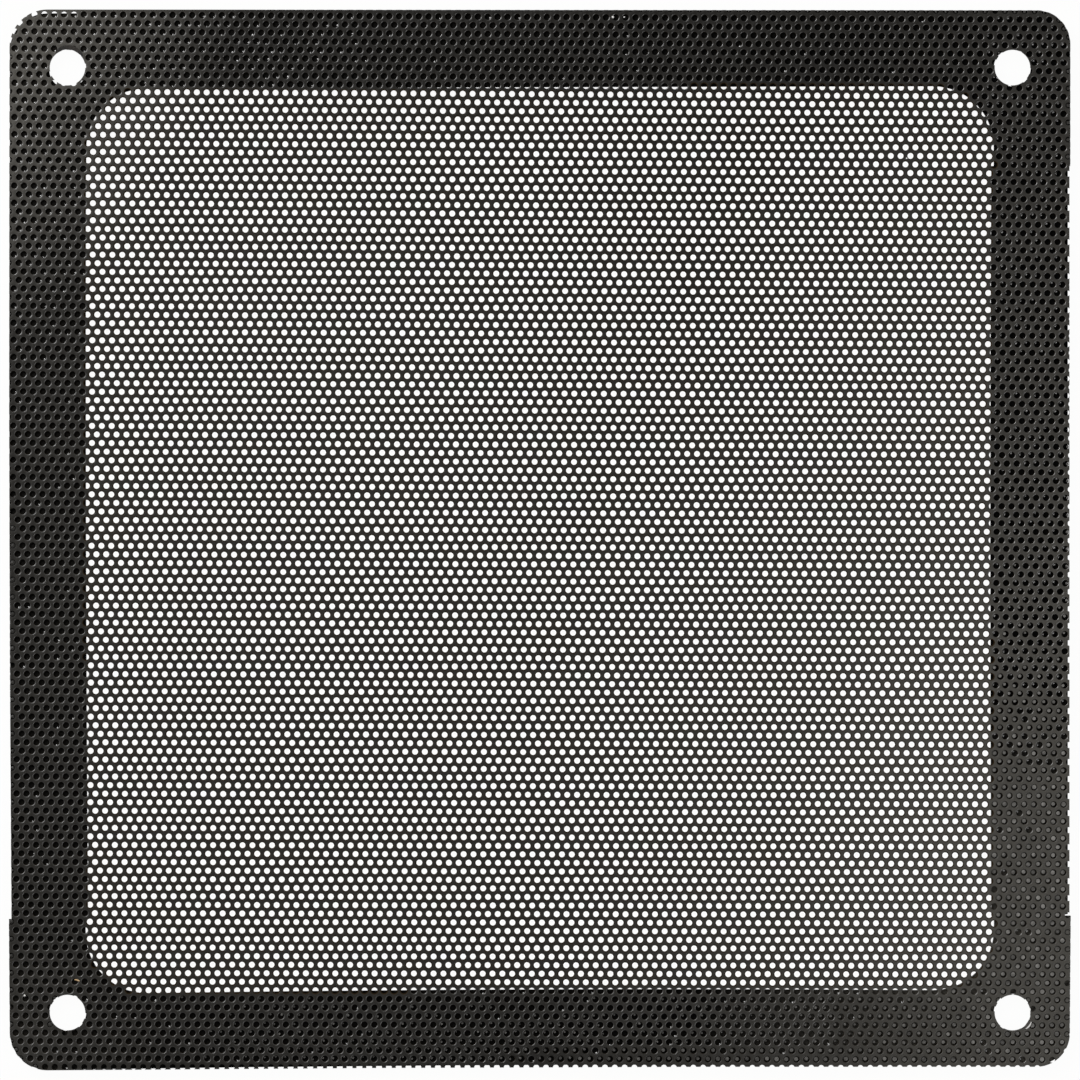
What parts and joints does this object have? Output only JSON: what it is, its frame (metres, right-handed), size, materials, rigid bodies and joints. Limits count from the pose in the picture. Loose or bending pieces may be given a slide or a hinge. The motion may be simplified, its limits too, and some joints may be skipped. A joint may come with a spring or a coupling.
{
  "type": "magnetic dust filter",
  "caption": "Square perforated vinyl dust filter sheet on a flat flexible magnet border, with round mounting holes at the corners, to cover a computer fan.",
  "frame": {"origin": "middle of the back face, at the centre of the four mounting holes", "axes": "+X to the right and +Y up as seen from the front; +Z out of the front face, with the magnets below"},
  "size_m": [0.1399, 0.1398, 0.0015],
  "materials": {
    "black_vinyl": "matt black perforated vinyl sheet",
    "magnet_rubber": "matt black ferrite-filled flexible magnet"
  },
  "bodies": {
    "root": {"perforated_sheet": "black_vinyl", "upper_magnet_bracket": "magnet_rubber", "lower_magnet_bracket": "magnet_rubber", "left_magnet_strip": "magnet_rubber", "right_magnet_strip": "magnet_rubber"}
  },
  "joints": []
}
